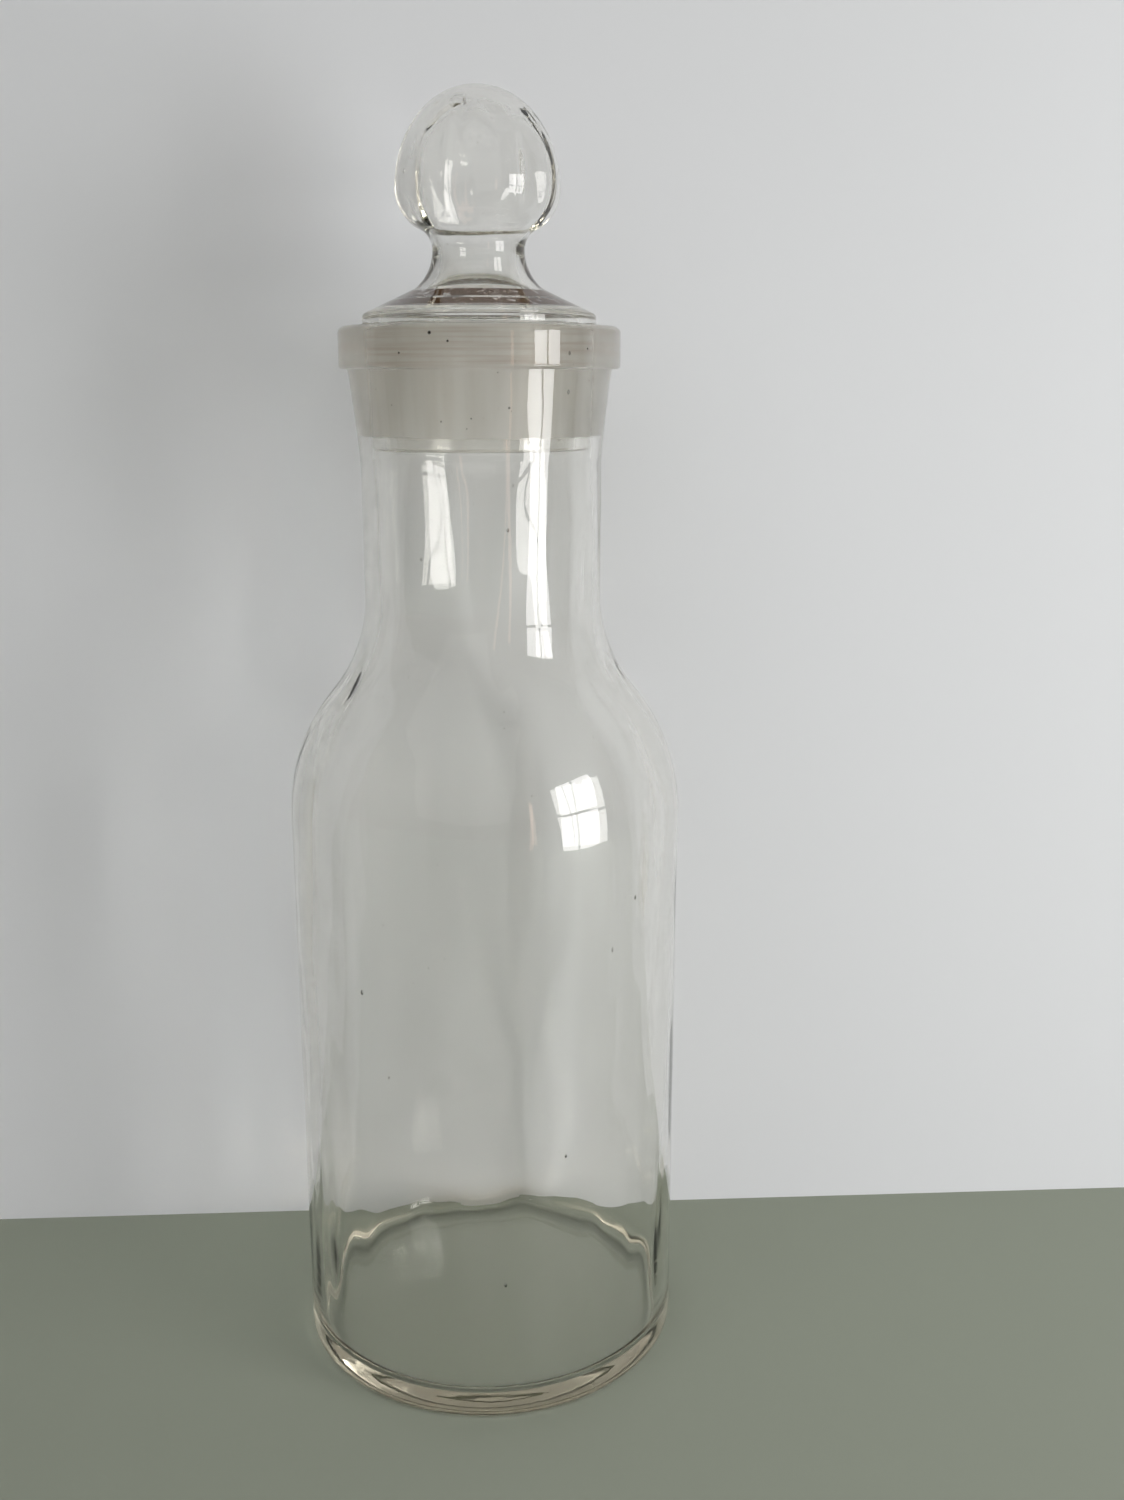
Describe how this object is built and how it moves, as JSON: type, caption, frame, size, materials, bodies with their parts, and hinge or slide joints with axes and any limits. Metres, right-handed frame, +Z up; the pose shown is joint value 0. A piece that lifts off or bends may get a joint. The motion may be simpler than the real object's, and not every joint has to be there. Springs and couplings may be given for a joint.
{
  "type": "apothecary jar",
  "caption": "Tall clear glass jar with a straight body, S-shaped shoulder, wide neck and tooled lip, closed by a hollow ball stopper that is ground to fit its mouth.",
  "frame": {"origin": "centre of the ring that the jar stands on, in the plane of the surface under it", "axes": "+Z up along the common axis of jar and stopper; both are turned shapes, so X and Y are free, and -Y faces the viewer"},
  "size_m": [0.1, 0.1, 0.3211],
  "materials": {
    "clear_glass": "fire-polished blown glass, ground matt inside the mouth",
    "stopper_glass": "fire-polished blown glass, ground matt on the plug"
  },
  "bodies": {
    "jar": {"jar_body": "clear_glass"},
    "stopper": {"stopper": "stopper_glass"}
  },
  "joints": [
    {"name": "stopper_lift", "type": "slide", "parent": "jar", "child": "stopper", "axis": [0, 0, 1], "range_m": [0, 0.12]}
  ]
}
